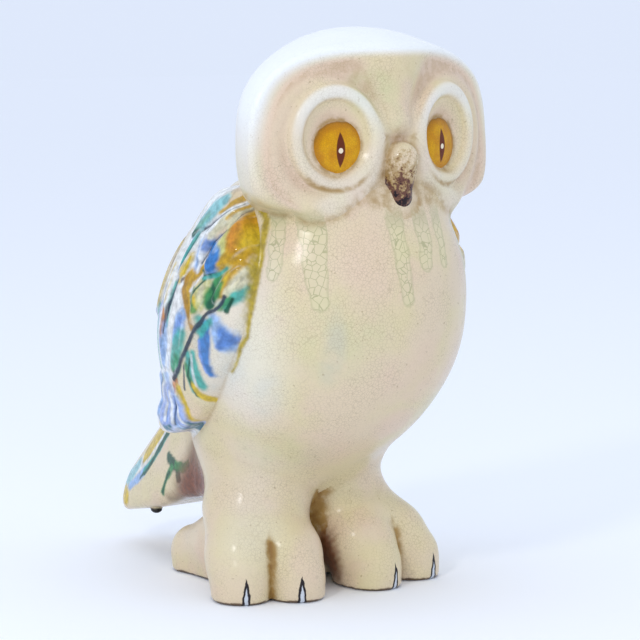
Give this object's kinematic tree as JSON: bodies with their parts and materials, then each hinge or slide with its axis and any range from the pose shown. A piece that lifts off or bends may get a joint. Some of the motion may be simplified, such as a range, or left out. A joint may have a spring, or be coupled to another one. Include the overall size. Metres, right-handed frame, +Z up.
{
  "type": "owl figurine",
  "caption": "Standing hollow glazed earthenware owl with a crackled cream glaze, brush-painted wings and tail, ringed eyes, a small beak and thick clawed feet.",
  "frame": {"origin": "middle of the bounding box on the ground, between the feet and the tip of the tail", "axes": "+Z up; the owl looks along -Y; +X is the owl's own left"},
  "size_m": [0.1676, 0.2429, 0.2939],
  "materials": {
    "glaze_cream": "gloss",
    "glaze_beak": "gloss",
    "glaze_eye": "gloss",
    "glaze_wing": "gloss",
    "glaze_feet": "gloss"
  },
  "bodies": {
    "root": {"body_shell": "glaze_cream", "head_shell": "glaze_cream", "brow_wedge": "glaze_cream", "beak": "glaze_beak", "eye_ring_left": "glaze_cream", "eye_ring_right": "glaze_cream", "eye_left": "glaze_eye", "eye_right": "glaze_eye", "wing_left": "glaze_wing", "wing_right": "glaze_wing", "tail": "glaze_wing", "leg_left": "glaze_feet", "leg_right": "glaze_feet", "outer_toe_left": "glaze_feet", "inner_toe_left": "glaze_feet", "outer_toe_right": "glaze_feet", "inner_toe_right": "glaze_feet", "hind_toe_left": "glaze_feet", "hind_toe_right": "glaze_feet"}
  },
  "joints": []
}
